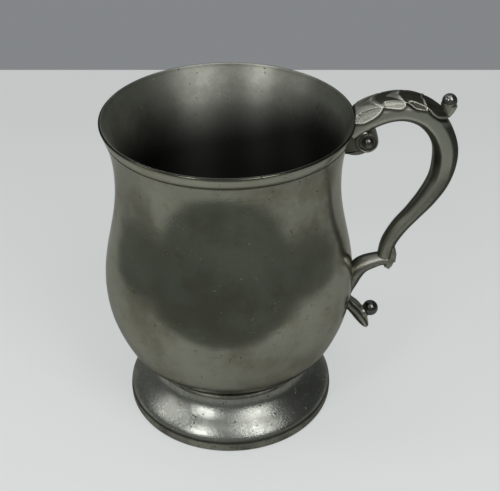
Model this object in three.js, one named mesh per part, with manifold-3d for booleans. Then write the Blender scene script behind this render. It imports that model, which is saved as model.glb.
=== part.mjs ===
// A one-handled pewter pint tankard: a tulip-shaped bowl soldered through a thin collar to a hollow
// spreading foot, and a cast double-scroll handle with a leaf and two ball terminals.
// Millimetres, +Z up. The tankard stands on z = 0 and the handle points to +X. Lengths along X in
// this file are measured from the bowl's axis; the last lines move the origin to the middle of the
// whole object's base.
import * as THREE from "three";
import { mergeVertices } from "three/addons/utils/BufferGeometryUtils.js";
import Module from "manifold-3d";

// Driving dimensions.
const HEIGHT = 126.6; // table to lip
const RIM_R = 46; // outside of the lip
const BELLY_R = 48.4; // fullest part of the bowl
const BELLY_Z = 56;
const NECK_R = 41.9; // narrowest part above the belly
const NECK_Z = 106;
const WALL = 1.8; // spun wall of the bowl and the foot
const LIP = 1.1; // the wall thins towards the drinking edge
const LIP_ROUND = 0.5;
const LINE_DROP = 4.7; // incised line, below the lip
const LINE_DEPTH = 0.45;
const LINE_HALF = 0.4; // half of its width
const WAIST_R = 30.6;
const WAIST_Z = 20.4; // top of the collar
const COLLAR_HEIGHT = 1.8;
const COLLAR_PROUD = 0.9;
const COLLAR_DEPTH = 4; // how far the collar reaches in under the bowl
const FLOOR_THICK = 1.6;
const FOOT_R = 42; // outside of the foot's rim band
const FOOT_BAND = 5; // height of that band
const FOOT_FLAT = 4.2; // width of the ring it stands on
const FOOT_ROUND = 1; // rounding of the band's edges
const SHOULDER_R = 40.6; // foot shell just above the band
const THUMB_BALL_R = 2.75;
const TAIL_BALL_R = 3.1;
const GAP = 0.3; // solder gap left between neighbouring pieces
const ROUND_STEPS = 48; // facets round the tankard's axis
const SQUARENESS = 3; // power of a bar's section: 2 is an ellipse, more is boxier

// The arm's centre line: x and z, then its depth in the handle's plane and its width across it.
const ARM = [
  [44.0, 121.6, 8.0, 12.6],
  [51.0, 126.4, 8.0, 12.4],
  [58.0, 129.0, 7.9, 12.0],
  [64.5, 129.2, 8.0, 11.6],
  [70.8, 126.8, 8.4, 11.0],
  [75.8, 121.8, 8.8, 10.4],
  [78.8, 115.4, 9.0, 10.0],
  [79.5, 108.4, 8.8, 9.6],
  [78.3, 100.6, 7.9, 9.2],
  [74.9, 93.1, 7.2, 8.8],
  [70.1, 85.8, 6.6, 8.2],
  [65.4, 79.0, 6.2, 7.6],
  [62.1, 72.3, 5.7, 7.2],
  [61.1, 65.9, 5.5, 7.0],
];
const LEAF_THICK = 1.1;
const LEAF_LAST = 5.5; // the arm point where the leaf lets go, counted along ARM
const LEAF_END_X = 84; // past the leaf's free end
const LEAF_ABOVE = 142; // above everything on the handle
const HANDLE_SPAN = 30; // wider than any part of the handle
const SCROLL_X = 47.9; // the scroll under the upper root
const SCROLL_Z = 118.1;
const SCROLL_R = 5.4;
const SCROLL_WIDTH = 10;
const BOSS_R = 2.1;
const BOSS_FORWARD = 2; // the bosses sit in front of the scroll's middle
const BOSS_FLATTEN = 0.7; // height of a boss as a share of its radius
const LOWER_WIDTH = 7.4; // the lower scroll
const LOWER_BEVEL = 0.9;
const LOWER_EDGE_X = 49.4; // its outer edge where it runs down the belly
const LOWER_END = 46.2; // height where it hands over to the tail leaf
const INNER_X = 42; // well inside the bowl, where the handle's cutters and outlines begin
const THUMB_BALL = [78.9, 0, 132];
const TAIL_BALL = [56.9, 0, 39.7];
// The tail leaf's centre line: x and z, depth and width.
const TAIL = [
  [46.8, 43.8, 5.4, 7.6],
  [50.0, 39.4, 5.2, 8.2],
  [53.2, 35.2, 4.4, 7.2],
  [55.7, 30.9, 1.2, 2.4],
];

const wasm = await Module();
wasm.setup();

// A closed geometry as a solid for cutting and joining.
function solid(geometry) {
  const bare = geometry.clone();
  bare.deleteAttribute("normal");
  bare.deleteAttribute("uv");
  const merged = mergeVertices(bare, 1e-3);
  const index = merged.index.array;
  const triangles = [];
  for (let i = 0; i < index.length; i += 3) {
    const [a, b, c] = [index[i], index[i + 1], index[i + 2]];
    if (a !== b && b !== c && c !== a) triangles.push(a, b, c);
  }
  return new wasm.Manifold(
    new wasm.Mesh({
      numProp: 3,
      vertProperties: merged.attributes.position.array,
      triVerts: new Uint32Array(triangles),
    }),
  );
}

function geometryOf(manifold) {
  const mesh = manifold.getMesh();
  const geometry = new THREE.BufferGeometry();
  geometry.setAttribute("position", new THREE.BufferAttribute(mesh.vertProperties, 3));
  geometry.setIndex(new THREE.BufferAttribute(mesh.triVerts, 1));
  const faceted = geometry.toNonIndexed();
  faceted.computeVertexNormals();
  return faceted;
}

// A solid of revolution about Z from [radius, height] pairs, given either way round.
function turned(profile) {
  const points = profile.map(([r, z]) => new THREE.Vector2(r, z));
  if (THREE.ShapeUtils.area(points) < 0) points.reverse();
  return new THREE.LatheGeometry(points, ROUND_STEPS).rotateX(Math.PI / 2);
}

// Points on a smooth curve through [radius, height] pairs.
function smooth(pairs, steps) {
  const curve = new THREE.SplineCurve(pairs.map(([r, z]) => new THREE.Vector2(r, z)));
  return curve.getSpacedPoints(steps).map((p) => [p.x, p.y]);
}

// A body lofted through closed loops of points, with flat ends.
function loft(loops) {
  const sides = loops[0].length;
  const points = loops.flat();
  const index = [];
  for (let i = 0; i + 1 < loops.length; i += 1) {
    for (let j = 0; j < sides; j += 1) {
      const a = i * sides + j;
      const b = i * sides + ((j + 1) % sides);
      index.push(a, b, b + sides, a, b + sides, a + sides);
    }
  }
  const last = (loops.length - 1) * sides;
  for (let j = 1; j + 1 < sides; j += 1) {
    index.push(0, j + 1, j, last, last + j, last + j + 1);
  }
  const geometry = new THREE.BufferGeometry().setFromPoints(points);
  geometry.setIndex(index);
  geometry.computeVertexNormals();
  return geometry;
}

// A bar in the handle's plane along [x, z, depth, width] rows. Its section is a rounded box,
// grow adds to it all round, and it stops at row number to.
function bar(rows, { grow = 0, steps = 24, sides = 12, to = rows.length - 1 } = {}) {
  const line = new THREE.CatmullRomCurve3(rows.map(([x, z]) => new THREE.Vector3(x, 0, z)));
  const size = new THREE.CatmullRomCurve3(rows.map((row) => new THREE.Vector3(row[2], row[3], 0)));
  const across = new THREE.Vector3(0, 1, 0);
  const loops = [];
  for (let i = 0; i <= steps; i += 1) {
    const t = (to * i) / steps / (rows.length - 1);
    const centre = line.getPoint(t);
    const outward = line.getTangent(t).cross(across).negate();
    const { x: depth, y: width } = size.getPoint(t);
    const loop = [];
    for (let j = 0; j < sides; j += 1) {
      const angle = (j / sides) * 2 * Math.PI;
      const [cos, sin] = [Math.cos(angle), Math.sin(angle)];
      const reach = Math.abs(cos) ** SQUARENESS + Math.abs(sin) ** SQUARENESS;
      const bulge = reach ** (-1 / SQUARENESS);
      const out = (depth / 2 + grow) * bulge * cos;
      const side = (width / 2 + grow) * bulge * sin;
      loop.push(centre.clone().addScaledVector(outward, out).addScaledVector(across, side));
    }
    loops.push(loop);
  }
  return loft(loops);
}

// A flat outline in the handle's plane, [x, z] pairs, as a plate of that width across Y.
function plate(pairs, width, bevel = 0) {
  const shape = new THREE.Shape(pairs.map(([x, z]) => new THREE.Vector2(x, z)));
  const geometry = new THREE.ExtrudeGeometry(shape, {
    depth: width - 2 * bevel,
    bevelEnabled: bevel > 0,
    bevelSize: bevel,
    bevelThickness: bevel,
    bevelOffset: -bevel,
    bevelSegments: 2,
  });
  return geometry.translate(0, 0, bevel - width / 2).rotateX(Math.PI / 2);
}

function ball(centre, radius, steps = 16) {
  return new THREE.SphereGeometry(radius, steps, steps / 2 + 1).translate(...centre);
}

// The bowl's wall: its outside from the waist to the lip, then its inside back down.
const outside = [
  [WAIST_R, WAIST_Z + GAP],
  [WAIST_R + 0.3, WAIST_Z + 2.2],
  [WAIST_R + 2.6, WAIST_Z + 4.6],
  [36.4, 27],
  [39.6, 29],
  [42.1, 32.2],
  [45.4, 40],
  [BELLY_R, BELLY_Z],
  [47.1, 71],
  [43.4, 88],
  [NECK_R, NECK_Z],
  [43.2, 115],
  [RIM_R, HEIGHT - LIP_ROUND],
];
const inside = [
  [RIM_R - LIP, HEIGHT - LIP_ROUND],
  [43.2 - WALL, 115],
  [NECK_R - WALL, NECK_Z],
  [43.4 - WALL, 88],
  [47.1 - WALL, 71],
  [BELLY_R - WALL, BELLY_Z],
  [45.4 - WALL, 40.6],
  [39.8, 33],
  [35, 28.8],
  [31, 26.4],
  [WAIST_R - WALL, WAIST_Z + 3.4],
  [WAIST_R - WALL, WAIST_Z + GAP],
];
const lineZ = HEIGHT - LINE_DROP;

function bowlOutside(grow) {
  return smooth(outside, 28).map(([r, z]) => [r + grow, z]);
}

function makeBowl() {
  const wall = bowlOutside(0);
  const below = wall.filter(([, z]) => z < lineZ - 2 * LINE_HALF);
  const above = wall.filter(([, z]) => z > lineZ + 2 * LINE_HALF);
  const lineR = (below.at(-1)[0] + above[0][0]) / 2;
  const line = [
    [lineR, lineZ - LINE_HALF],
    [lineR - LINE_DEPTH, lineZ],
    [lineR, lineZ + LINE_HALF],
  ];
  const lip = [
    [RIM_R - LIP_ROUND, HEIGHT],
    [RIM_R - LIP + LIP_ROUND, HEIGHT],
  ];
  return turned([...below, ...line, ...above, ...lip, ...smooth(inside, 20), below[0]]);
}

function makeFloor() {
  const low = WAIST_Z + GAP;
  const radius = WAIST_R - WALL - GAP;
  return turned([
    [0, low],
    [radius, low],
    [radius, low + FLOOR_THICK],
    [0, low + FLOOR_THICK],
  ]);
}

// What the handle pieces are cut by, so that they follow the bowl's wall.
const bowlSpace = solid(
  turned([[0, WAIST_Z - 1], ...bowlOutside(GAP), [RIM_R + GAP, HEIGHT + 1], [0, HEIGHT + 1]]),
);

function makeCollar() {
  const bottom = WAIST_Z - COLLAR_HEIGHT;
  const middle = WAIST_Z - COLLAR_HEIGHT / 2;
  const hole = WAIST_R - COLLAR_DEPTH;
  return turned([
    [hole, bottom],
    [WAIST_R + COLLAR_PROUD * 0.4, bottom],
    [WAIST_R + COLLAR_PROUD, middle],
    [WAIST_R + COLLAR_PROUD * 0.4, WAIST_Z],
    [hole, WAIST_Z],
    [hole, bottom],
  ]);
}

function makeFoot() {
  const top = WAIST_Z - COLLAR_HEIGHT - GAP;
  const low = FOOT_BAND + GAP;
  const ogee = smooth(
    [
      [WAIST_R + 0.3, top],
      [WAIST_R + 1.4, top - 3.6],
      [WAIST_R + 4.4, top - 6.8],
      [WAIST_R + 8, top - 9.4],
      [SHOULDER_R, low + 0.9],
    ],
    12,
  );
  const hollow = smooth(
    [
      [SHOULDER_R - 1.4, low],
      [WAIST_R + 5.8, top - 10.2],
      [WAIST_R + 1.6, top - 6.8],
      [WAIST_R - 1.2, top - 2.4],
      [WAIST_R + 0.3 - WALL, top],
    ],
    9,
  );
  return turned([...ogee, [SHOULDER_R, low], ...hollow, ogee[0]]);
}

function makeFootRim() {
  const hole = FOOT_R - FOOT_FLAT;
  const ease = FOOT_ROUND * 0.35; // how far a rounded edge's middle stands in from its corner
  return turned([
    [hole, 0],
    [FOOT_R - FOOT_ROUND, 0],
    [FOOT_R - ease, ease],
    [FOOT_R, FOOT_ROUND],
    [FOOT_R, FOOT_BAND - FOOT_ROUND],
    [FOOT_R - ease, FOOT_BAND - ease],
    [SHOULDER_R, FOOT_BAND],
    [hole + FOOT_ROUND, FOOT_BAND],
    [hole, FOOT_BAND - FOOT_ROUND],
    [hole, 0],
  ]);
}

function makeArm() {
  return geometryOf(solid(bar(ARM)).subtract(bowlSpace));
}

const armSpace = solid(bar(ARM, { grow: GAP }));

// The leaf's outline from the side: its lower edge runs in four lobes along the arm.
function leafOutline() {
  const lobes = new THREE.Shape();
  lobes.moveTo(INNER_X, 126.8);
  lobes.lineTo(45.6, 126.8);
  lobes.bezierCurveTo(48, 125, 53, 126.4, 54.8, 132);
  lobes.bezierCurveTo(57, 130.4, 61.6, 130.8, 63.2, 133.2);
  lobes.bezierCurveTo(65, 130.6, 68, 130, 70.4, 130.4);
  lobes.bezierCurveTo(72, 127.6, 76, 126.6, 79.4, 128.6);
  lobes.lineTo(LEAF_END_X, 130);
  lobes.lineTo(LEAF_END_X, LEAF_ABOVE);
  lobes.lineTo(INNER_X, LEAF_ABOVE);
  return lobes.getPoints(5).map((p) => [p.x, p.y]);
}

function leafSolid(grow) {
  const over = solid(bar(ARM, { grow: LEAF_THICK + GAP + grow, to: LEAF_LAST }));
  const side = solid(plate(leafOutline(), HANDLE_SPAN));
  return over.intersect(side);
}

function makeLeaf() {
  return geometryOf(leafSolid(0).subtract(armSpace).subtract(bowlSpace));
}

function makeThumbBall() {
  const round = solid(ball(THUMB_BALL, THUMB_BALL_R));
  return geometryOf(round.subtract(leafSolid(GAP)).subtract(armSpace));
}

function makeRootScroll() {
  const roll = new THREE.CylinderGeometry(SCROLL_R, SCROLL_R, SCROLL_WIDTH, 24);
  const body = solid(roll.translate(SCROLL_X, 0, SCROLL_Z));
  return geometryOf(body.subtract(armSpace).subtract(bowlSpace));
}

function makeBoss(side) {
  const face = SCROLL_WIDTH / 2 + GAP;
  const dome = ball([0, 0, 0], BOSS_R).scale(1, BOSS_FLATTEN, 1);
  const outer = new THREE.BoxGeometry(4 * BOSS_R, 2 * BOSS_R, 4 * BOSS_R);
  outer.translate(0, side * BOSS_R, 0);
  const half = geometryOf(solid(dome).intersect(solid(outer)));
  return half.translate(SCROLL_X + BOSS_FORWARD, side * face, SCROLL_Z);
}

// The lower scroll: a strut from the arm's end that sweeps onto the belly and down to the tail.
function makeLowerScroll() {
  const shape = new THREE.Shape();
  shape.moveTo(63.6, 65.1); // the strut's top, under the arm's end
  shape.lineTo(62.6, 62.9);
  shape.bezierCurveTo(55.4, 61.8, 49.5, 56.2, LOWER_EDGE_X, 48.6);
  shape.lineTo(LOWER_EDGE_X, LOWER_END);
  shape.lineTo(INNER_X, LOWER_END);
  shape.lineTo(INNER_X, 60);
  shape.lineTo(48, 60); // where the strut leaves the bowl
  shape.bezierCurveTo(50.4, 62.4, 54, 64.7, 58.6, 65.1);
  const outline = shape.getPoints(8).map((p) => [p.x, p.y]);
  return geometryOf(solid(plate(outline, LOWER_WIDTH, LOWER_BEVEL)).subtract(bowlSpace));
}

const tailSpace = solid(bar(TAIL, { grow: GAP, steps: 8 }));
const belowScroll = new THREE.BoxGeometry(HANDLE_SPAN, HANDLE_SPAN, LOWER_END - GAP);
belowScroll.translate(INNER_X + HANDLE_SPAN / 2, 0, (LOWER_END - GAP) / 2);

function makeTail() {
  const leaf = solid(bar(TAIL, { steps: 8 })).intersect(solid(belowScroll));
  return geometryOf(leaf.subtract(bowlSpace));
}

function makeTailBall() {
  return geometryOf(solid(ball(TAIL_BALL, TAIL_BALL_R)).subtract(tailSpace));
}

const pewter = new THREE.MeshStandardMaterial({ color: 0x8a8a80, roughness: 0.35, metalness: 1 });
const castPewter = new THREE.MeshStandardMaterial({ color: 0x7c7c74, roughness: 0.4, metalness: 1 });

const tankard = new THREE.Group();

function add(name, geometry, material) {
  const mesh = new THREE.Mesh(geometry, material);
  mesh.name = name;
  tankard.add(mesh);
}

add("bowl", makeBowl(), pewter);
add("bowl_floor", makeFloor(), pewter);
add("waist_collar", makeCollar(), pewter);
add("foot", makeFoot(), pewter);
add("foot_rim", makeFootRim(), pewter);
add("handle_arm", makeArm(), castPewter);
add("leaf_cap", makeLeaf(), castPewter);
add("thumb_ball", makeThumbBall(), castPewter);
add("root_scroll", makeRootScroll(), castPewter);
add("root_boss_left", makeBoss(1), castPewter);
add("root_boss_right", makeBoss(-1), castPewter);
add("lower_scroll", makeLowerScroll(), castPewter);
add("tail_leaf", makeTail(), castPewter);
add("tail_ball", makeTailBall(), castPewter);

const whole = new THREE.Box3().setFromObject(tankard);
tankard.position.x = -(whole.min.x + whole.max.x) / 2;

export default tankard;
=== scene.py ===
import math

import bmesh
import bpy
import numpy as np
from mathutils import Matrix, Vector, noise


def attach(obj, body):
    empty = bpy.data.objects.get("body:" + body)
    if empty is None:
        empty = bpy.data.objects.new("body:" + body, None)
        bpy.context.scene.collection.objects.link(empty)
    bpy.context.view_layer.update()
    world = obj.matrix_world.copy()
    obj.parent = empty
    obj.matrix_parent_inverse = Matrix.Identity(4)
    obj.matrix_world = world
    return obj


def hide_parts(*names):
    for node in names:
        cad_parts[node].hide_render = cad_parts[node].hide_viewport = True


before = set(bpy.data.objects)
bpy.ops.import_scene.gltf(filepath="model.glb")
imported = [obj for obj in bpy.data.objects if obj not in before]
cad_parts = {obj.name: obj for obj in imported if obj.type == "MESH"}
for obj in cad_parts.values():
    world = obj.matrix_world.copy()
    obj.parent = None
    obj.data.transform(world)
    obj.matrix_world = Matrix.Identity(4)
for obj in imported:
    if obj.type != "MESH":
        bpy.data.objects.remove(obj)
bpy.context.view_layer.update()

# A one-handled pewter pint tankard. Shapes are written in millimetres from the bowl's own axis and
# the table top; place() moves them to the row's frame, in metres.
MM = 0.001
AXIS_X = -17.708  # the bowl's axis in the row's frame
HEIGHT = 126.6
RIM_R = 46.0
WALL = 1.8
LIP = 1.1  # the wall thins towards the drinking edge
LIP_ROUND = 0.5
LINE_Z = HEIGHT - 4.7  # the incised line under the lip
LINE_HALF = 0.25
LINE_DEEP = 0.14
WAIST_R = 30.6
FLOOR_Z = 20.7  # the bottom of the bowl and of the disc that closes it
ROUND = 224  # sides of everything that is turned

BOWL_OUT = [(WAIST_R, FLOOR_Z), (30.9, 22.6), (33.2, 25.0), (36.4, 27.0), (39.6, 29.0), (42.1, 32.2),
            (45.4, 40.0), (47.6, 48.0), (48.4, 56.0), (48.1, 64.0), (46.85, 72.0), (45.1, 80.0),
            (43.4, 88.0), (42.3, 95.5), (41.9, 103.0), (42.17, 110.5), (43.38, 118.0), (46.0, 126.0)]
BOWL_IN = [(44.9, 126.0), (41.7, 118.0), (40.2, 108.0), (41.6, 88.0), (45.3, 71.0), (46.6, 56.0),
           (43.6, 40.6), (39.8, 33.0), (35.0, 28.8), (31.0, 26.4), (28.8, 23.8),
           (28.8, FLOOR_Z)]

# The arm's centre line: x, z, depth, width, then how boxy its section is (1) or round (0).
ARM = [(44.0, 121.6, 8.0, 12.6, 1.0), (51.0, 126.4, 8.0, 12.4, 1.0), (58.0, 129.0, 7.9, 12.0, 1.0),
       (64.5, 129.2, 8.0, 11.6, 1.0), (70.8, 126.8, 8.4, 11.0, 1.0), (75.8, 121.8, 8.8, 10.4, 1.0),
       (78.8, 115.4, 9.0, 10.0, 1.0), (79.5, 108.4, 8.8, 9.6, 0.95), (78.3, 100.6, 7.9, 9.2, 0.7),
       (74.9, 93.1, 7.3, 8.8, 0.3), (70.1, 85.8, 6.8, 8.2, 0.0), (65.2, 79.0, 6.6, 7.8, 0.0),
       (61.9, 72.3, 6.3, 7.4, 0.0), (60.8, 65.9, 6.1, 7.2, 0.1)]


def catmull(rows, count):
    """count rows on a uniform Catmull-Rom curve through rows."""
    p = np.array(rows, float)
    last = len(p) - 1
    out = []
    for t in np.linspace(0, last, count):
        i = min(int(t), last - 1)
        w = t - i
        a, b, c, d = p[max(i - 1, 0)], p[i], p[i + 1], p[min(i + 2, last)]
        v0, v1 = (c - a) / 2, (d - b) / 2
        out.append((2 * b - 2 * c + v0 + v1) * w**3 + (3 * c - 3 * b - 2 * v0 - v1) * w**2 + v0 * w + b)
    return np.array(out)


def spaced(rows, step):
    """The same curve, resampled about every step millimetres."""
    fine = catmull(rows, 40 * len(rows))
    run = np.r_[0, np.cumsum(np.linalg.norm(np.diff(fine[:, :2], axis=0), axis=1))]
    at = np.linspace(0, run[-1], max(3, round(run[-1] / step) + 1))
    return np.stack([np.interp(at, run, fine[:, k]) for k in range(fine.shape[1])], 1)


OUTSIDE = spaced(BOWL_OUT, 0.5)


def outside_radius(z):
    return np.interp(z, OUTSIDE[:, 1], OUTSIDE[:, 0])


def place(name, points, faces, node, slot, material, sharp=40, tone=None):
    """A mesh piece from points in millimetres from the bowl's axis, standing in for a CAD node.
    sharp is the angle, in degrees, beyond which an edge isn't smoothed. tone carries each point's patina
    and wear, and in places painted shade and painted highlights: 1 is dark, -1 is bright."""
    mesh = bpy.data.meshes.new(name)
    shifted = (np.array(points, float) + (AXIS_X, 0, 0)) * MM
    mesh.from_pydata(shifted.tolist(), [], [tuple(f) for f in faces])
    mesh.validate()
    shade = mesh.attributes.new("tone", "FLOAT", "POINT")
    shade.data.foreach_set("value", np.zeros(len(points)) if tone is None else np.array(tone, float))
    work = bmesh.new()
    work.from_mesh(mesh)
    bmesh.ops.remove_doubles(work, verts=work.verts, dist=1e-6)
    bmesh.ops.dissolve_degenerate(work, edges=work.edges, dist=1e-7)
    bmesh.ops.recalc_face_normals(work, faces=work.faces)
    work.to_mesh(mesh)
    work.free()
    mesh.shade_smooth()
    mesh.set_sharp_from_angle(angle=math.radians(sharp))
    piece = bpy.data.objects.new(name, mesh)
    bpy.context.collection.objects.link(piece)
    mesh.materials.append(material)
    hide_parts(*node)
    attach(piece, "root")
    return piece


def ring_faces(rings, sides, closed):
    """Quads between successive rings of points; closed joins the last ring to the first."""
    faces = []
    for i in range(rings if closed else rings - 1):
        a, b = i * sides, (i + 1) % rings * sides
        for j in range(sides):
            k = (j + 1) % sides
            faces.append((a + j, a + k, b + k, b + j))
    return faces


def turned(profile, ripple=None):
    """A solid of revolution from a closed (radius, height) profile."""
    points, profile = [], np.array(profile)
    angles = np.arange(ROUND) / ROUND * 2 * math.pi
    for r, z in profile:
        radius = r if ripple is None else r + ripple(angles, z)
        points.append(np.stack([radius * np.cos(angles), radius * np.sin(angles), np.full(ROUND, z)], 1))
    return np.concatenate(points), ring_faces(len(profile), ROUND, True)


def arc(centre, radius, start, end, count):
    turn = np.radians(np.linspace(start, end, count))
    return np.stack([centre[0] + radius * np.cos(turn), centre[1] + radius * np.sin(turn)], 1)


def ripple(angles, z):
    """The small unevenness of spun metal that has been knocked about, in millimetres."""
    slow = [noise.noise(Vector((1.3 * math.cos(a), 1.3 * math.sin(a), z / 26))) for a in angles]
    wide = [noise.noise(Vector((3.1 * math.cos(a) + 9, 3.1 * math.sin(a), z / 11))) for a in angles]
    return 0.10 * np.array(slow) + 0.03 * np.array(wide)


def rounded(planes, power, sides):
    """Radius in every direction of a polygon with softened corners, from (angle, distance) planes."""
    turn = np.arange(sides) / sides * 2 * math.pi
    total = np.zeros(sides)
    for angle, distance in planes:
        total += np.maximum(0, np.cos(turn - math.radians(angle)) / distance) ** power
    return turn, total ** (-1 / power)


def bar(rows, step, sides, section):
    """Rings of a bar in the handle's plane. section(row) gives its outward and sideways offsets."""
    line = spaced(rows, step)
    tangent = np.gradient(line[:, :2], axis=0)
    tangent /= np.linalg.norm(tangent, axis=1)[:, None]
    rings = []
    for row, (tx, tz) in zip(line, tangent):
        out, side = section(row, sides)
        rings.append(np.stack([row[0] - tz * out, side, row[1] + tx * out], 1))
    return rings


def capped(rings):
    """Points and faces of a bar with closed ends."""
    sides = len(rings[0])
    base = (len(rings) - 1) * sides
    faces = ring_faces(len(rings), sides, False)
    faces += [tuple(range(sides))[::-1], tuple(range(base, base + sides))]
    return np.concatenate(rings), faces


def off_wall(points, sink=0.35):
    """Keeps a handle piece outside the bowl: points in the wall are moved out to just under its skin."""
    points = np.array(points, float)
    radius = np.hypot(points[:, 0], points[:, 1])
    wanted = outside_radius(np.minimum(points[:, 2], HEIGHT - 0.5)) - sink
    grow = np.maximum(1, wanted / np.maximum(radius, 1e-6))
    points[:, :2] *= grow[:, None]
    return points


# ---------------------------------------------------------------- materials


class Nodes:
    """A small builder for one material's nodes."""

    def __init__(self, name):
        self.material = bpy.data.materials.new(name)
        self.material.use_nodes = True
        self.tree = self.material.node_tree
        self.shader = self.tree.nodes["Principled BSDF"]
        where = self.add("ShaderNodeTexCoord")
        move = self.add("ShaderNodeMapping", Location=(-AXIS_X * MM, 0, 0))
        self.link(where.outputs["Object"], move.inputs["Vector"])
        self.where = move.outputs["Vector"]

    def add(self, kind, **values):
        node = self.tree.nodes.new(kind)
        for key, value in values.items():
            if key in node.inputs:
                node.inputs[key].default_value = value
            else:
                setattr(node, key, value)
        return node

    def link(self, source, target):
        self.tree.links.new(source, target)

    def stretched(self, scale):
        node = self.add("ShaderNodeMapping", Scale=scale)
        self.link(self.where, node.inputs["Vector"])
        return node.outputs["Vector"]

    def noise(self, scale, detail=3.0, rough=0.5, vector=None):
        node = self.add("ShaderNodeTexNoise", Scale=scale, Detail=detail, Roughness=rough)
        self.link(vector or self.where, node.inputs["Vector"])
        return node.outputs["Fac"]

    def shaken(self, reach, scale):
        """The position, pushed about by up to reach so that round marks come out ragged."""
        wobble = self.add("ShaderNodeTexNoise", Scale=scale, Detail=2.0)
        self.link(self.where, wobble.inputs["Vector"])
        push = self.add("ShaderNodeVectorMath", operation="MULTIPLY_ADD")
        self.link(wobble.outputs["Color"], push.inputs[0])
        push.inputs[1].default_value = (reach,) * 3
        self.link(self.where, push.inputs[2])
        return push.outputs[0]

    def ramp(self, source, low, high, first=0.0, last=1.0):
        node = self.add("ShaderNodeMapRange", interpolation_type="SMOOTHSTEP")
        for key, value in (("From Min", low), ("From Max", high), ("To Min", first), ("To Max", last)):
            node.inputs[key].default_value = value
        self.link(source, node.inputs["Value"])
        return node.outputs["Result"]

    def blend(self, factor, first, second):
        node = self.add("ShaderNodeMix", data_type="RGBA")
        for key, value in ((6, first), (7, second)):
            if isinstance(value, tuple):
                node.inputs[key].default_value = (*value, 1)
            else:
                self.link(value, node.inputs[key])
        self.link(factor, node.inputs[0])
        return node.outputs[2]

    def sum(self, *terms):
        """Adds (source, share) pairs."""
        total = None
        for source, share in terms:
            node = self.add("ShaderNodeMath", operation="MULTIPLY_ADD")
            self.link(source, node.inputs[0])
            node.inputs[1].default_value = share
            if total is not None:
                self.link(total, node.inputs[2])
            else:
                node.inputs[2].default_value = 0
            total = node.outputs[0]
        return total

    def product(self, first, second):
        node = self.add("ShaderNodeMath", operation="MULTIPLY")
        self.link(first, node.inputs[0])
        self.link(second, node.inputs[1])
        return node.outputs[0]

    def bump(self, height, distance, strength=1.0, after=None):
        node = self.add("ShaderNodeBump", Distance=distance, Strength=strength)
        self.link(height, node.inputs["Height"])
        if after is not None:
            self.link(after, node.inputs["Normal"])
        return node.outputs["Normal"]


def pewter(name, light, dark, brown, gloss, pits, grain, tarnish, spun, across=0.0):
    """Aged pewter. light, dark and brown are its colours; gloss is its roughness where it is clean;
    pits, grain and tarnish say how much of each it has; spun adds fine lines round the axis, and
    across is how far those lines smear a highlight up and down. Scales are in waves per metre."""
    n = Nodes(name)
    if across:
        n.shader.inputs["Anisotropic"].default_value = across
        n.shader.inputs["Anisotropic Rotation"].default_value = 0.25
        turned_about = n.add("ShaderNodeTangent", direction_type="RADIAL", axis="Z")
        n.link(turned_about.outputs[0], n.shader.inputs["Tangent"])
    n.shader.inputs["Metallic"].default_value = 1
    n.shader.inputs["Specular Tint"].default_value = (0.72, 0.72, 0.7, 1)
    cloud = n.noise(26, 5, 0.62)
    patch = n.ramp(n.noise(55, 6, 0.7), 0.42, 0.68)
    fine = n.noise(1700, 3, 0.7)
    speck = n.add("ShaderNodeTexVoronoi", Scale=850.0 if pits < 1.1 else 560.0, Randomness=1.0)
    n.link(n.shaken(0.0011, 700), speck.inputs["Vector"])
    hole = n.ramp(speck.outputs["Distance"], 0.10, 0.30, 1, 0)
    rare = n.ramp(n.noise(260, 4, 0.7), 0.66 - 0.12 * pits, 0.74 - 0.12 * pits)
    hole = n.product(hole, rare)
    lines = n.noise(1.0, 4, 0.7, n.stretched((18, 18, 1500)))
    scratch = n.noise(1.0, 2, 0.6, n.stretched((1400, 60, 160)))
    tone = n.add("ShaderNodeAttribute", attribute_name="tone").outputs["Fac"]
    colour = n.blend(n.ramp(cloud, 0.36, 0.66), light, dark)
    colour = n.blend(n.sum((patch, tarnish)), colour, brown)
    colour = n.blend(n.sum((n.ramp(fine, 0.40, 0.62), 0.22 * grain)), colour, tuple(0.45 * c for c in dark))
    # tone darkens towards a deep brown, for patina and for painted shade, and lightens for rubbed wear and
    # for painted highlights.
    colour = n.blend(n.ramp(tone, 0, 1, 0, 0.94), colour, tuple(0.4 * c for c in brown))
    colour = n.blend(n.ramp(tone, -1, 0, 0.8, 0), colour, tuple(1.5 * c for c in light))
    colour = n.blend(n.sum((hole, 0.7)), colour, (0.04, 0.04, 0.033))
    n.link(colour, n.shader.inputs["Base Color"])
    rough = n.sum((cloud, 0.10), (patch, 0.10 * tarnish + 0.03), (fine, 0.10 * grain), (hole, 0.3))
    lift = n.add("ShaderNodeMath", operation="ADD")
    n.link(rough, lift.inputs[0])
    lift.inputs[1].default_value = gloss - 0.08
    n.link(lift.outputs[0], n.shader.inputs["Roughness"])
    skin = n.bump(n.sum((fine, grain)), 0.00006)
    skin = n.bump(n.sum((lines, spun), (scratch, 0.4)), 0.00002, 1, skin)
    skin = n.bump(n.sum((hole, -1.0)), 0.00012, 1, skin)
    n.link(skin, n.shader.inputs["Normal"])
    return n.material


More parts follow.
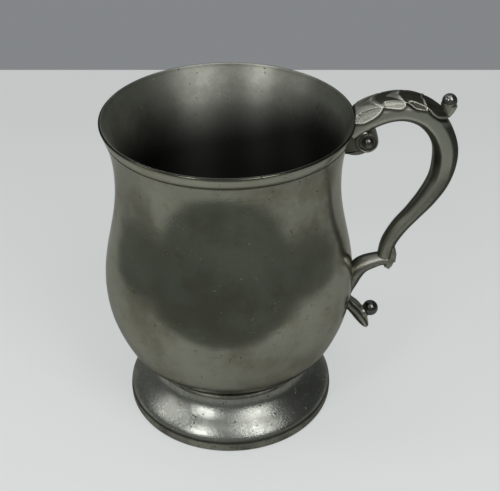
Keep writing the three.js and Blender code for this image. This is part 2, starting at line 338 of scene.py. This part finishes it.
BOWL_METAL = pewter("pewter_bowl", (0.365, 0.367, 0.307), (0.28, 0.288, 0.244), (0.21, 0.19, 0.14),
                    0.14, 0.8, 0.4, 0.7, 0.5)
INSIDE_METAL = pewter("pewter_inside", (0.66, 0.67, 0.59), (0.52, 0.53, 0.465), (0.045, 0.048, 0.04),
                      0.50, 0.8, 0.5, 0.25, 0.5, across=0.85)
FOOT_METAL = pewter("pewter_foot", (0.42, 0.43, 0.395), (0.33, 0.34, 0.31), (0.17, 0.165, 0.14),
                    0.21, 1.2, 1.3, 0.45, 0.2, across=0.3)
RIM_METAL = pewter("pewter_foot_rim", (0.38, 0.385, 0.33), (0.25, 0.255, 0.22), (0.09, 0.09, 0.075),
                   0.30, 2.0, 1.6, 0.8, 0.2)
CAST_METAL = pewter("pewter_cast", (0.43, 0.43, 0.378), (0.30, 0.302, 0.27), (0.15, 0.145, 0.115),
                    0.28, 1.0, 1.7, 0.65, 0.0)
# A darker copy of the cast pewter for the balls and bosses: painted shade.
SHADED_BALL_METAL = pewter("pewter_ball_shaded", (0.27, 0.27, 0.26), (0.17, 0.17, 0.165), (0.12, 0.10, 0.09),
                    0.18, 0.8, 0.5, 0.5, 0.0)

# ---------------------------------------------------------------- bowl, collar and foot


def bowl_profile():
    wall = spaced(BOWL_OUT, 0.9)
    clear = 0.7  # the wall's own points stay this far from the line
    below = wall[wall[:, 1] < LINE_Z - clear]
    above = wall[wall[:, 1] > LINE_Z + clear]
    r = np.interp(LINE_Z, wall[:, 1], wall[:, 0])
    lean = 0.25  # how fast the wall spreads at the line
    flank, flank_lean, flank_r = 0.12, 0.1 * lean, r - 0.7 * LINE_DEEP
    groove = [(r - lean * LINE_HALF, LINE_Z - LINE_HALF), (flank_r - flank_lean, LINE_Z - flank),
              (r - LINE_DEEP, LINE_Z), (flank_r + flank_lean, LINE_Z + flank),
              (r + lean * LINE_HALF, LINE_Z + LINE_HALF)]
    middle = RIM_R - LIP / 2
    lip = [(middle + LIP / 2 * math.cos(a), HEIGHT - LIP_ROUND + LIP_ROUND * math.sin(a))
           for a in np.radians(np.linspace(10, 170, 9))]
    return np.concatenate([below, groove, above, lip, spaced(BOWL_IN, 1.0)])


def bowl_patina_and_shade(points):
    """Dark at the lip and in the line; rubbed bright between the line and the lip. Inside, painted shade
    darkens it deeper down and towards the handle.
    """
    r, z = np.hypot(points[:, 0], points[:, 1]), points[:, 2]
    tone = np.clip(1.2 - np.abs(z - HEIGHT) / LIP_ROUND, 0, 1)
    tone += 0.7 * np.exp(-(((z - LINE_Z) / LINE_HALF) ** 2)) * (r > 43.2)
    tone -= 0.45 * np.clip((z - LINE_Z - 0.4) / 0.4, 0, 1) * (z < HEIGHT - 0.7)
    # Painted shade inside: darker deeper down and towards the handle.
    shade_top, shade_fade = 121, 30
    deep = np.clip((shade_top - z) / shade_fade, 0, 1) ** 0.8
    shade_towards_handle = np.clip(points[:, 0] / r, 0, 1) ** 1.5
    inside = r < outside_radius(z) - 0.6
    return np.clip(np.where(inside, deep + 0.55 * shade_towards_handle, tone), -1, 1)


bowl_points, bowl_faces = turned(bowl_profile(), ripple)
bowl = place("bowl_shell", bowl_points, bowl_faces, ["bowl"], "spun_pewter", BOWL_METAL, 40,
             bowl_patina_and_shade(bowl_points))
bowl.data.materials.append(INSIDE_METAL)
for face in bowl.data.polygons:
    x, y, z = face.center / MM
    if math.hypot(x - AXIS_X, y) < outside_radius(z) - 0.45 or z > HEIGHT - 0.1:
        face.material_index = 1

floor_r = WAIST_R - WALL - 0.05
disc_points, disc_faces = turned([(0, FLOOR_Z), (floor_r - 0.4, FLOOR_Z), (floor_r, 21.1), (floor_r, 21.9),
                                  (floor_r - 0.4, 22.3), (20, 22.2), (8, 22.1), (0, 22.1)])
# The disc is painted dark, as painted shade at the bottom inside.
place("bowl_floor_disc", disc_points, disc_faces, ["bowl_floor"], "spun_pewter", INSIDE_METAL, 40,
      np.full(len(disc_points), 0.85))

collar = np.concatenate([[(WAIST_R - 4, 18.5)], arc((WAIST_R + 0.6, 19.6), 1.05, -78, 78, 11),
                         [(WAIST_R - 4, 20.5)]])
collar_points, collar_faces = turned(collar)
# Painted shade: the ring is a little darker where it sits under the bowl, which dims its glints.
place("waist_ring", collar_points, collar_faces, ["waist_collar"], "spun_pewter", RIM_METAL, 40,
      np.full(len(collar_points), 0.15))

OGEE = [(30.9, 18.5), (31.9, 14.9), (34.7, 11.8), (38.2, 9.2), (40.5, 7.1), (41.4, 5.8), (41.6, 5.0)]
HOLLOW = [(39.2, 5.1), (36.4, 8.1), (32.2, 11.5), (29.4, 15.9), (29.1, 18.5)]
foot_outline = np.concatenate([spaced(OGEE, 0.5)[::-1], spaced(HOLLOW, 1.0)[::-1]])
foot_points, foot_faces = turned(foot_outline, ripple)
# Dirt gathers in the seam between the foot and its band.
foot_tone = 0.9 * np.clip((6.0 - foot_points[:, 2]) / 0.7, 0, 1)
place("foot_shell", foot_points, foot_faces, ["foot"], "foot_pewter", FOOT_METAL, 40, foot_tone)

band = np.concatenate([[(37.8, 0.3), (38.1, 0.0)], arc((40.3, 1.6), 1.6, -90, -8, 12),
                       [(41.95, 2.7), (41.85, 3.7)], arc((41.5, 4.75), 0.2, 0, 90, 4),
                       [(40.0, 4.95), (38.2, 4.6), (37.8, 3.9)]])
band_points, band_faces = turned(band, ripple)
band_tone = np.clip((band_points[:, 2] - 4.0) / 0.6, 0, 1)
place("foot_band", band_points, band_faces, ["foot_rim"], "foot_pewter", RIM_METAL, 40, band_tone)

# ---------------------------------------------------------------- handle


def arm_section(row, sides):
    depth, width, boxy = row[2] / 2, row[3] / 2, row[4]
    corner = (depth + width) / math.sqrt(2)
    outer = corner * (0.72 + 0.08 * boxy)
    inner = corner * (0.72 + 0.03 * boxy)
    planes = [(0, depth), (180, depth), (90, width), (-90, width),
              (45, outer), (-45, outer), (135, inner), (-135, inner)]
    turn, radius = rounded(planes, 5 + 11 * boxy, sides)
    return radius * np.cos(turn), radius * np.sin(turn)


def section(power=None, swell=1.0, flute=0.0, flutes=0.0):
    """A bar's section from a row's depth and width. A higher power, or else the row's own, is boxier;
    flutes scallop it."""

    def offsets(row, sides):
        depth, width = row[2] / 2, row[3] / 2
        planes = [(0, depth), (180, depth), (90, width), (-90, width)]
        turn, radius = rounded(planes, power or row[4], sides)
        radius = radius * (swell - flute * np.abs(np.sin(flutes * turn)))
        return radius * np.cos(turn), radius * np.sin(turn)

    return offsets


def joined(*parts):
    """Several (points, faces) pairs as one."""
    points, faces, base = [], [], 0
    for p, f in parts:
        points.append(p)
        faces += [tuple(i + base for i in face) for face in f]
        base += len(p)
    return np.concatenate(points), faces


def plate(outline, width, round_by, segments=5):
    """A closed outline in the handle's plane as a plate whose edges are rounded off."""
    outline = np.array(outline, float)
    normal = np.roll(outline, -1, 0) - np.roll(outline, 1, 0)
    normal = np.stack([normal[:, 1], -normal[:, 0]], 1)
    normal /= np.linalg.norm(normal, axis=1)[:, None]
    area = np.sum(outline[:, 0] * np.roll(outline[:, 1], -1) - np.roll(outline[:, 0], -1) * outline[:, 1])
    if area < 0:
        normal = -normal
    rings = []
    steps = np.radians(np.linspace(-90, 0, segments))
    for side, turns in ((-1, steps), (1, -steps[::-1])):
        for turn in turns:
            flat = outline - normal * round_by * (1 - math.cos(turn))
            y = side * (width / 2 - round_by) + round_by * math.sin(turn)
            rings.append(np.stack([flat[:, 0], np.full(len(flat), y), flat[:, 1]], 1))
    return capped(rings)


# The leaf lies over the arm. Each lobe's free edge: (mm along the arm, mm from the arm's top line).
LOBES = [
    [(-3.0, 5.0), (0.0, 5.7), (3.5, 6.7), (6.5, 8.0), (9.8, 7.9), (12.5, 6.9), (14.1, 5.1), (12.4, 2.8),
     (10.9, -0.1)],
    [(7.0, 4.6), (12.0, 5.2), (15.3, 6.2), (18.0, 6.8), (19.8, 6.6), (20.9, 5.2), (19.9, 2.6),
     (19.2, -0.1)],
    [(15.0, 4.0), (20.6, 5.0), (23.3, 6.3), (25.8, 6.2), (27.6, 5.4), (26.5, 2.8), (25.8, -0.1)],
    [(22.0, 4.4), (27.0, 5.2), (29.3, 6.0), (31.8, 5.7), (34.0, 3.9), (35.2, 1.8), (35.6, -0.1)],
]
LOBE_EDGES = [catmull(edge, 10 * len(edge)) for edge in LOBES]
LEAF_RISE = 1.5  # at the free edges
LEAF_SUNK = 0.7  # into the arm, outside the lobes
LEAF_FALL = 0.065  # per mm back from the free edge
LEAF_LONG = 36.4  # along the arm
EDGE_BEAD = 0.22


def inside_lobe(edge, along, across):
    """Distance in from a lobe's free edge; negative outside the lobe."""
    nearest = np.full(along.shape, 1e9)
    crossed = np.zeros(along.shape, int)
    under, behind = -9.0, -30.0  # the loop is closed well outside the leaf
    loop = np.concatenate([edge, [(edge[-1][0], under), (behind, under), (behind, edge[0][1])]])
    for i, (x0, y0) in enumerate(loop):
        x1, y1 = loop[(i + 1) % len(loop)]
        dx, dy = x1 - x0, y1 - y0
        if i < len(edge) - 1:
            share = np.clip(((along - x0) * dx + (across - y0) * dy) / (dx**2 + dy**2), 0, 1)
            nearest = np.minimum(nearest, np.hypot(along - x0 - share * dx, across - y0 - share * dy))
        if dy:
            spans = (across >= min(y0, y1)) & (across < max(y0, y1))
            crossed += spans & (along < x0 + (across - y0) / dy * dx)
    return np.where(crossed % 2 == 1, nearest, -nearest)


def leaf_relief(along, across):
    """The leaf's height over the arm, its patina with painted light and shade, and the distance in from its
    outline.
    """
    height = np.full(along.shape, -LEAF_SUNK)
    tone = np.zeros(along.shape)
    inside = np.full(along.shape, -1e9)
    for lobe in (3, 2, 1, 0):
        edge = LOBE_EDGES[lobe]
        d = inside_lobe(edge, along, np.abs(across))
        bead = np.exp(-(((d - 0.55) / 0.32) ** 2))
        h = LEAF_RISE - LEAF_FALL * np.clip(d, 0, 6) + EDGE_BEAD * bead
        step = np.clip(d / 0.4, 0, 1)
        h = -LEAF_SUNK + (h + LEAF_SUNK) * step * step * (3 - 2 * step)
        # Painted light and shade: the first two lobes are lighter and the back two dark, the second lobe's
        # top is painted bright and the third lobe's sides darker.
        if lobe < 2:
            own = 0.15 * np.exp(-(((d - 2.2) / 1.2) ** 2)) - 0.1 - 0.9 * bead
        else:
            own = 0.85 - 1.8 * bead
        if lobe == 2:
            own = own + 0.5 * (np.abs(across) > 4)
        if lobe == 1:
            own = own - 0.6 * (np.abs(across) < 5)
        shadow = np.where(d < 0, np.exp(-((d / 0.45) ** 2)), 0)
        tone = np.where((h > height) & (d > 0), own, tone + shadow)
        height = np.maximum(height, h)
        inside = np.maximum(inside, d)
    return height, tone, inside


def arm_measure(rings):
    """Each ring's distance along the arm, and each point's distance round it from the top line."""
    along = np.r_[0, np.cumsum(np.linalg.norm(np.diff(rings.mean(1), axis=0), axis=1))]
    gaps = np.linalg.norm(np.diff(rings, axis=1, append=rings[:, :1]), axis=2)
    across = np.concatenate([np.zeros((len(rings), 1)), np.cumsum(gaps, 1)], 1)
    total = across[:, -1:]
    return along, np.where(across[:, :-1] <= total / 2, across[:, :-1], across[:, :-1] - total)


def arm_wear_and_painted_light(along, across):
    """The upper arm is boxy: its flat sides are rubbed bright, and painted shade darkens its corners and
    the faces between them. The lower arm is round, with a painted highlight along the middle of what shows
    and painted shade away from it. Dirt gathers beside the leaf."""
    sides = across.shape[1]
    turn = np.degrees(np.arange(sides) / sides * 2 * math.pi)
    from_top = np.abs((turn + 180) % 360 - 180)[None, :]
    from_side = np.abs(from_top - 90)
    # Painted shade on the upper arm's corners and the faces between its flat sides; the flat sides are
    # rubbed bright.
    boxy = 0.65 * np.clip((from_side - 21) / 5, 0, 1) - 0.9 * np.clip((26 - from_side) / 8, 0, 1)
    # A painted highlight along the middle of the lower arm as seen, with painted shade to either side.
    from_middle = np.abs(from_top - 122)
    round_highlight_and_shade = 0.95 * np.clip((from_middle - 34) / 26, 0, 1) - 1.0 * np.exp(-((from_middle / 22) ** 2))
    low = np.clip((along - 50) / 12, 0, 1)[:, None]
    tone = boxy * (1 - low) + round_highlight_and_shade * low
    edge = leaf_relief(np.repeat(along[:, None], sides, 1), across)[2]
    tone += 1.2 * np.exp(-((edge / 0.6) ** 2)) - 0.9 * np.exp(-(((edge + 1.5) / 0.7) ** 2))
    return np.clip(tone, -1, 1).ravel()


arm_rings = np.array(bar(ARM, 0.4, 120, arm_section))
arm_tone = arm_wear_and_painted_light(*arm_measure(arm_rings))
# Two small overlapping leaf tips end the arm on its outer side.
tips = [plate([(62.4, 71.6), (64.3, 70.2), (65.1, 67.6), (64.9, 63.9), (63.0, 63.5), (61.6, 66.0)],
              5.6, 0.5),
        plate([(62.0, 65.6), (64.3, 64.6), (63.7, 62.5), (62.5, 60.8), (60.6, 62.0)], 6.4, 0.5)]
arm_points, arm_faces = joined(capped(arm_rings), *tips)
arm_tone = np.r_[arm_tone, np.zeros(len(arm_points) - len(arm_tone))]
place("arm", off_wall(arm_points), arm_faces, ["handle_arm"], "cast_pewter", CAST_METAL, 50, arm_tone)


def softened(grid, width):
    """A grid of vectors blurred along its second axis, which rounds off the arm's corners."""
    weight = np.exp(-0.5 * (np.arange(-3 * width, 3 * width + 1) / width) ** 2)
    weight /= weight.sum()
    padded = np.concatenate([grid[:, :1]] * (3 * width) + [grid] + [grid[:, -1:]] * (3 * width), 1)
    return sum(w * padded[:, k:k + grid.shape[1]] for k, w in enumerate(weight))


def leaf_piece():
    """The leaf as a skin over the arm, thick at its free edges and sunk into the arm outside them."""
    reach, columns = 9.2, 151
    rings = np.array(bar(ARM, 0.17, 360, arm_section))
    along, across = arm_measure(rings)
    covered = along < LEAF_LONG
    rings, along, across = rings[covered], along[covered], across[covered]
    normal = np.cross(np.gradient(rings, axis=0), np.roll(rings, -1, 1) - np.roll(rings, 1, 1))
    normal /= np.linalg.norm(normal, axis=2)[:, :, None]
    if normal[40, 0, 2] < 0:  # on top of the arm the normal has to point up
        normal = -normal
    wanted = np.linspace(-reach, reach, columns)
    skin, out = np.zeros((2, len(rings), columns, 3))
    for i in range(len(rings)):
        order = np.argsort(across[i])
        for axis in range(3):
            skin[i, :, axis] = np.interp(wanted, across[i][order], rings[i][order, axis])
            out[i, :, axis] = np.interp(wanted, across[i][order], normal[i][order, axis])
    skin, out = softened(skin, 15), softened(out, 15)
    out /= np.linalg.norm(out, axis=2)[:, :, None]
    height, tone, _ = leaf_relief(*np.meshgrid(along, wanted, indexing="ij"))
    # The relief is lower along the leaf's middle, where the lobes of both sides meet.
    calm, middle_rise = np.clip(np.abs(wanted) / 1.6, 0.25, 1)[None, :], 1.15
    height = np.where(height > 0.3, middle_rise + (height - middle_rise) * calm, height)
    # Painted shade: a strip on the far side of the leaf's middle is darker, and the leaf's underside, sunk
    # in the arm, is fully dark.
    tone = tone + 0.6 * np.exp(-(((wanted - 1.6) / 1.3) ** 2))[None, :]
    shell = np.concatenate([skin + out * height[:, :, None], (skin - out)[:, ::-1]], 1)
    points, faces = capped(list(shell))
    return points, faces, np.clip(np.concatenate([tone, np.ones_like(tone)], 1), -1, 1).ravel()


leaf_points, leaf_faces, leaf_tone = leaf_piece()
# The cup under the thumb ball, with a scalloped edge.
CUP = [(77.8, 126.6, 4.0, 4.4), (78.2, 127.9, 4.8, 5.2), (78.6, 129.2, 5.4, 5.7), (78.8, 130.3, 5.9, 6.1),
       (78.9, 131.0, 6.0, 6.2)]
cup = capped(bar(CUP, 0.2, 84, section(2.2, 1.0, 0.09, 3.5)))
leaf_points, leaf_faces = joined((leaf_points, leaf_faces), cup)
# The cup is painted bright, a painted highlight.
leaf_tone = np.r_[leaf_tone, np.full(len(leaf_points) - len(leaf_tone), -0.7)]
place("acanthus_leaf", off_wall(leaf_points), leaf_faces, ["leaf_cap"], "cast_pewter", CAST_METAL, 50,
      leaf_tone)


def sphere(centre, radius, squash=1.0, rings=40, sides=64):
    profile = [(radius * math.cos(a), radius * squash * math.sin(a))
               for a in np.linspace(-math.pi / 2, math.pi / 2, rings)]
    turn = np.arange(sides) / sides * 2 * math.pi
    loops = [np.stack([centre[0] + r * np.cos(turn), centre[1] + r * np.sin(turn),
                       np.full(sides, centre[2] + z)], 1) for r, z in profile[1:-1]]
    return capped(loops)


place("thumb_knob", *sphere((78.9, 0, 132.0), 2.72), ["thumb_ball"], "cast_pewter", SHADED_BALL_METAL)
tail_ball = sphere((56.9, 0, 39.7), 3.15)
# The tail ball is painted darker still, as painted shade.
place("tail_knob", *tail_ball, ["tail_ball"], "cast_pewter", SHADED_BALL_METAL, 40,
      np.full(len(tail_ball[0]), 0.55))


# Under the upper root: a block on the wall, and a band that curls round the bosses.
EYE = (50.3, 117.8)


def root_piece():
    low = catmull([(42.0, 112.9), (44.9, 112.2), (47.0, 112.1), (49.4, 112.8), (51.2, 114.2)], 14)
    high = [(51.6, 116.5), (51.4, 119.5), (50.2, 121.8), (47.0, 122.3), (42.0, 120.0)]
    outline = np.concatenate([low, high])
    count = 80
    turn = np.radians(np.linspace(100, 445, count))
    radius, thick = np.linspace(4.1, 3.1, count), np.linspace(2.0, 1.3, count)
    rows = np.stack([EYE[0] + radius * np.cos(turn), EYE[1] + radius * np.sin(turn), thick,
                     np.full(count, 10.6), np.full(count, 3.2)], 1)
    core = arc(EYE, 3, 0, 360, 41)[:-1]
    parts = [plate(outline, 8.8, 1.0), plate(core, 9.2, 0.3), capped(bar(rows, 0.35, 48, section()))]
    # Painted shade on the core between the bosses and a painted highlight on the band that curls round
    # them.
    tone = np.concatenate([np.full(len(p), t) for (p, _), t in zip(parts, (0.0, 0.35, -1.0))])
    return *joined(*parts), tone


root_points, root_faces, root_tone = root_piece()
place("root_volute", off_wall(root_points), root_faces, ["root_scroll"], "cast_pewter", CAST_METAL, 50,
      root_tone)


def boss(side):
    points, faces = sphere((0, 0, 0), 2.15, 0.95)
    turned_over = np.stack([points[:, 0], points[:, 2] * side, points[:, 1]], 1)
    return turned_over + (EYE[0], side * 4.8, EYE[1]), faces


place("volute_boss_far", *boss(1), ["root_boss_left"], "cast_pewter", SHADED_BALL_METAL)
place("volute_boss_near", *boss(-1), ["root_boss_right"], "cast_pewter", SHADED_BALL_METAL)


# The lower scroll: x, z, depth, width and how boxy, from the arm's end onto the belly and down it.
LOWER = [(62.6, 63.4, 4.2, 6.4, 3.0), (60.8, 64.2, 4.3, 6.6, 2.6), (58.6, 64.0, 4.5, 7.0, 2.3),
         (56.0, 63.1, 5.1, 7.6, 2.2), (53.4, 62.0, 5.5, 8.2, 2.2), (51.3, 60.4, 5.9, 8.8, 2.2),
         (49.7, 58.0, 5.9, 9.0, 2.4), (48.6, 54.4, 4.6, 8.6, 2.8), (47.5, 50.0, 2.9, 7.6, 3.0),
         (46.6, 46.2, 2.8, 7.0, 3.0)]
LOWER_SIDES = 56
lower_points, lower_faces = capped(bar(LOWER, 0.5, LOWER_SIDES, section()))
# A painted highlight along the near upper side, at 228 degrees round the section, and painted shade away
# from it.
from_painted_highlight = np.abs(np.degrees(np.arange(LOWER_SIDES) / LOWER_SIDES * 2 * math.pi) - 228)
lower_tone = 0.9 * np.clip((from_painted_highlight - 36) / 26, 0, 1) - 0.9 * np.exp(-((from_painted_highlight / 22) ** 2))
lower_tone = np.tile(lower_tone, len(lower_points) // LOWER_SIDES)
place("lower_strut", off_wall(lower_points), lower_faces, ["lower_scroll"], "cast_pewter", CAST_METAL, 60,
      lower_tone)

TAIL = [(46.4, 46.0, 2.8, 7.2), (47.9, 43.0, 3.7, 7.6), (50.4, 40.2, 4.2, 7.8), (52.5, 37.2, 4.2, 7.6),
        (54.2, 34.4, 3.7, 6.8), (55.2, 32.3, 2.8, 5.2), (55.8, 30.9, 1.8, 3.4)]
STALK = [(52.0, 36.6, 5.4, 6.0), (53.4, 37.4, 5.2, 5.8), (54.6, 38.1, 4.8, 5.2), (55.6, 38.8, 3.8, 4.2)]
TAIL_SIDES, RIBS = 72, 4
tail_points, tail_faces = joined(capped(bar(TAIL, 0.3, TAIL_SIDES, section(4, 1.06, 0.24, RIBS))),
                                 capped(bar(STALK, 0.3, 40, section(2.5))))
tail_turn = np.arange(TAIL_SIDES) / TAIL_SIDES * 2 * math.pi
tail_tone = np.resize(0.9 - 1.9 * np.abs(np.cos(RIBS * tail_turn)) ** 3, len(tail_points))
place("tail_leaf_blade", off_wall(tail_points), tail_faces, ["tail_leaf"], "cast_pewter", CAST_METAL, 60,
      tail_tone)

# ---------------------------------------------------------------- stage, light and camera


def stage_plane(name, corners, colour, seen_by, glow=None, near=None):
    """A flat surface that isn't part of the object, from corners in metres of the row's frame.
    seen_by lists the kinds of ray that meet it. near is how much stronger its glow is at the front
    than at the back."""
    mesh = bpy.data.meshes.new(name)
    mesh.from_pydata(corners, [], [tuple(range(len(corners)))])
    plane = bpy.data.objects.new(name, mesh)
    bpy.context.collection.objects.link(plane)
    material = bpy.data.materials.new(name)
    material.use_nodes = True
    shader = material.node_tree.nodes["Principled BSDF"]
    shader.inputs["Base Color"].default_value = (*colour, 1)
    shader.inputs["Roughness"].default_value = 0.9
    shader.inputs["Specular IOR Level"].default_value = 0.1
    if glow is not None:
        shader.inputs["Emission Color"].default_value = (*glow, 1)
        shader.inputs["Emission Strength"].default_value = 1
    if near is not None:
        where = material.node_tree.nodes.new("ShaderNodeTexCoord")
        split = material.node_tree.nodes.new("ShaderNodeSeparateXYZ")
        grade = material.node_tree.nodes.new("ShaderNodeMapRange")
        for key, value in (("From Min", -0.30), ("From Max", 0.25), ("To Min", near), ("To Max", 1.0)):
            grade.inputs[key].default_value = value
        material.node_tree.links.new(where.outputs["Object"], split.inputs[0])
        material.node_tree.links.new(split.outputs["Y"], grade.inputs["Value"])
        material.node_tree.links.new(grade.outputs["Result"], shader.inputs["Emission Strength"])
    mesh.materials.append(material)
    for kind in ("camera", "diffuse", "glossy", "shadow"):
        setattr(plane, "visible_" + kind, kind in seen_by)
    plane.visible_transmission = plane.visible_volume_scatter = False


def level(x0, y0, x1, y1, z):
    return [(x0, y0, z), (x1, y0, z), (x1, y1, z), (x0, y1, z)]


A = AXIS_X * MM
FLOOR_BACK = 0.321  # where the floor ends and the backdrop shows
# The floor glows: painted light that softens the shadows on it and is brighter towards the front.
stage_plane("floor", level(-2, -2, 2, FLOOR_BACK, 0), (0.27, 0.272, 0.27),
            ("camera", "diffuse", "shadow"), (0.385, 0.402, 0.398), 1.5)
stage_plane("backdrop", [(-2, 1.2, -1.5), (2, 1.2, -1.5), (2, 1.2, 1.5), (-2, 1.2, 1.5)], (0, 0, 0),
            ("camera",), (0.228, 0.238, 0.245))
# The polished belly mirrors the floor and, past the floor's near edge, the dim room: these two
# planes are seen only in reflections, and the board's front corners shape the dark patch.
board = [(A - 0.206, -0.088), (A - 0.188, -0.110), (A, -0.121), (A + 0.196, -0.135), (A + 0.217, -0.115),
         (A + 0.235, FLOOR_BACK), (A - 0.180, FLOOR_BACK)]
stage_plane("floor_in_reflection", [(x, y, 0.0002) for x, y in board], (0.63, 0.635, 0.605),
            ("glossy",))
stage_plane("room_in_reflection", level(-3, -3, 3, 3, -0.003), (0, 0, 0), ("glossy",),
            (0.16, 0.175, 0.16))


def softbox(name, azimuth, elevation, distance, wide, tall, radiance):
    """An area light that looks at the tankard. Azimuth 0 is the camera's side, 90 is the handle's."""
    a, e = math.radians(azimuth), math.radians(elevation)
    aim = Vector((A, 0, 0.05))
    back = Vector((math.sin(a) * math.cos(e), -math.cos(a) * math.cos(e), math.sin(e)))
    light = bpy.data.lights.new(name, "AREA")
    light.shape = "RECTANGLE"
    light.size, light.size_y = wide, tall
    light.energy = radiance * math.pi * wide * tall
    lamp = bpy.data.objects.new(name, light)
    lamp.location = aim + back * distance
    lamp.rotation_mode = "QUATERNION"
    lamp.rotation_quaternion = back.to_track_quat("Z", "Y")
    bpy.context.collection.objects.link(lamp)


softbox("key_left_front", -35, 41, 1.6, 0.24, 0.36, 13.0)
softbox("fill_right_front", 36, 49, 1.6, 0.58, 0.95, 4.4)
softbox("fill_left", -82, 40, 1.6, 0.42, 0.45, 4.4)
softbox("back_left", -142, 42, 1.6, 0.8, 0.7, 0.5)
softbox("overhead", 0, 89, 1.8, 1.6, 1.2, 1.0)

world = bpy.data.worlds.new("room")
bpy.context.scene.world = world
world.use_nodes = True
tree = world.node_tree
around = tree.nodes.new("ShaderNodeTexCoord")
split = tree.nodes.new("ShaderNodeSeparateXYZ")
fade = tree.nodes.new("ShaderNodeValToRGB")
side = tree.nodes.new("ShaderNodeMapRange")
side.inputs["From Min"].default_value = -1
tree.links.new(around.outputs["Generated"], split.inputs[0])
tree.links.new(split.outputs["X"], side.inputs["Value"])
tree.links.new(side.outputs["Result"], fade.inputs["Fac"])
tree.links.new(fade.outputs["Color"], tree.nodes["Background"].inputs["Color"])
marks = fade.color_ramp.elements
marks[0].color = (0.12, 0.1236, 0.12, 1)
marks[1].color = (0.08, 0.083, 0.08, 1)
for stop, grey in ((0.35, 0.2), (0.6, 0.2), (0.85, 0.08)):
    marks.new(stop).color = (grey, grey * 1.03, grey, 1)

camera = bpy.data.cameras.new("camera")
camera.lens, camera.sensor_width = 72, 36
camera.clip_start, camera.clip_end = 0.01, 20
viewer = bpy.data.objects.new("camera", camera)
bpy.context.collection.objects.link(viewer)
AIM_X = 8.14 + AXIS_X
eye = Vector((AIM_X, -322.17, 288.15)) * MM
target = Vector((AIM_X, 0, 70.1)) * MM
viewer.location = eye
viewer.rotation_mode = "QUATERNION"
viewer.rotation_quaternion = (target - eye).to_track_quat("-Z", "Y")
bpy.context.scene.camera = viewer
bpy.context.scene.view_settings.view_transform = "Standard"
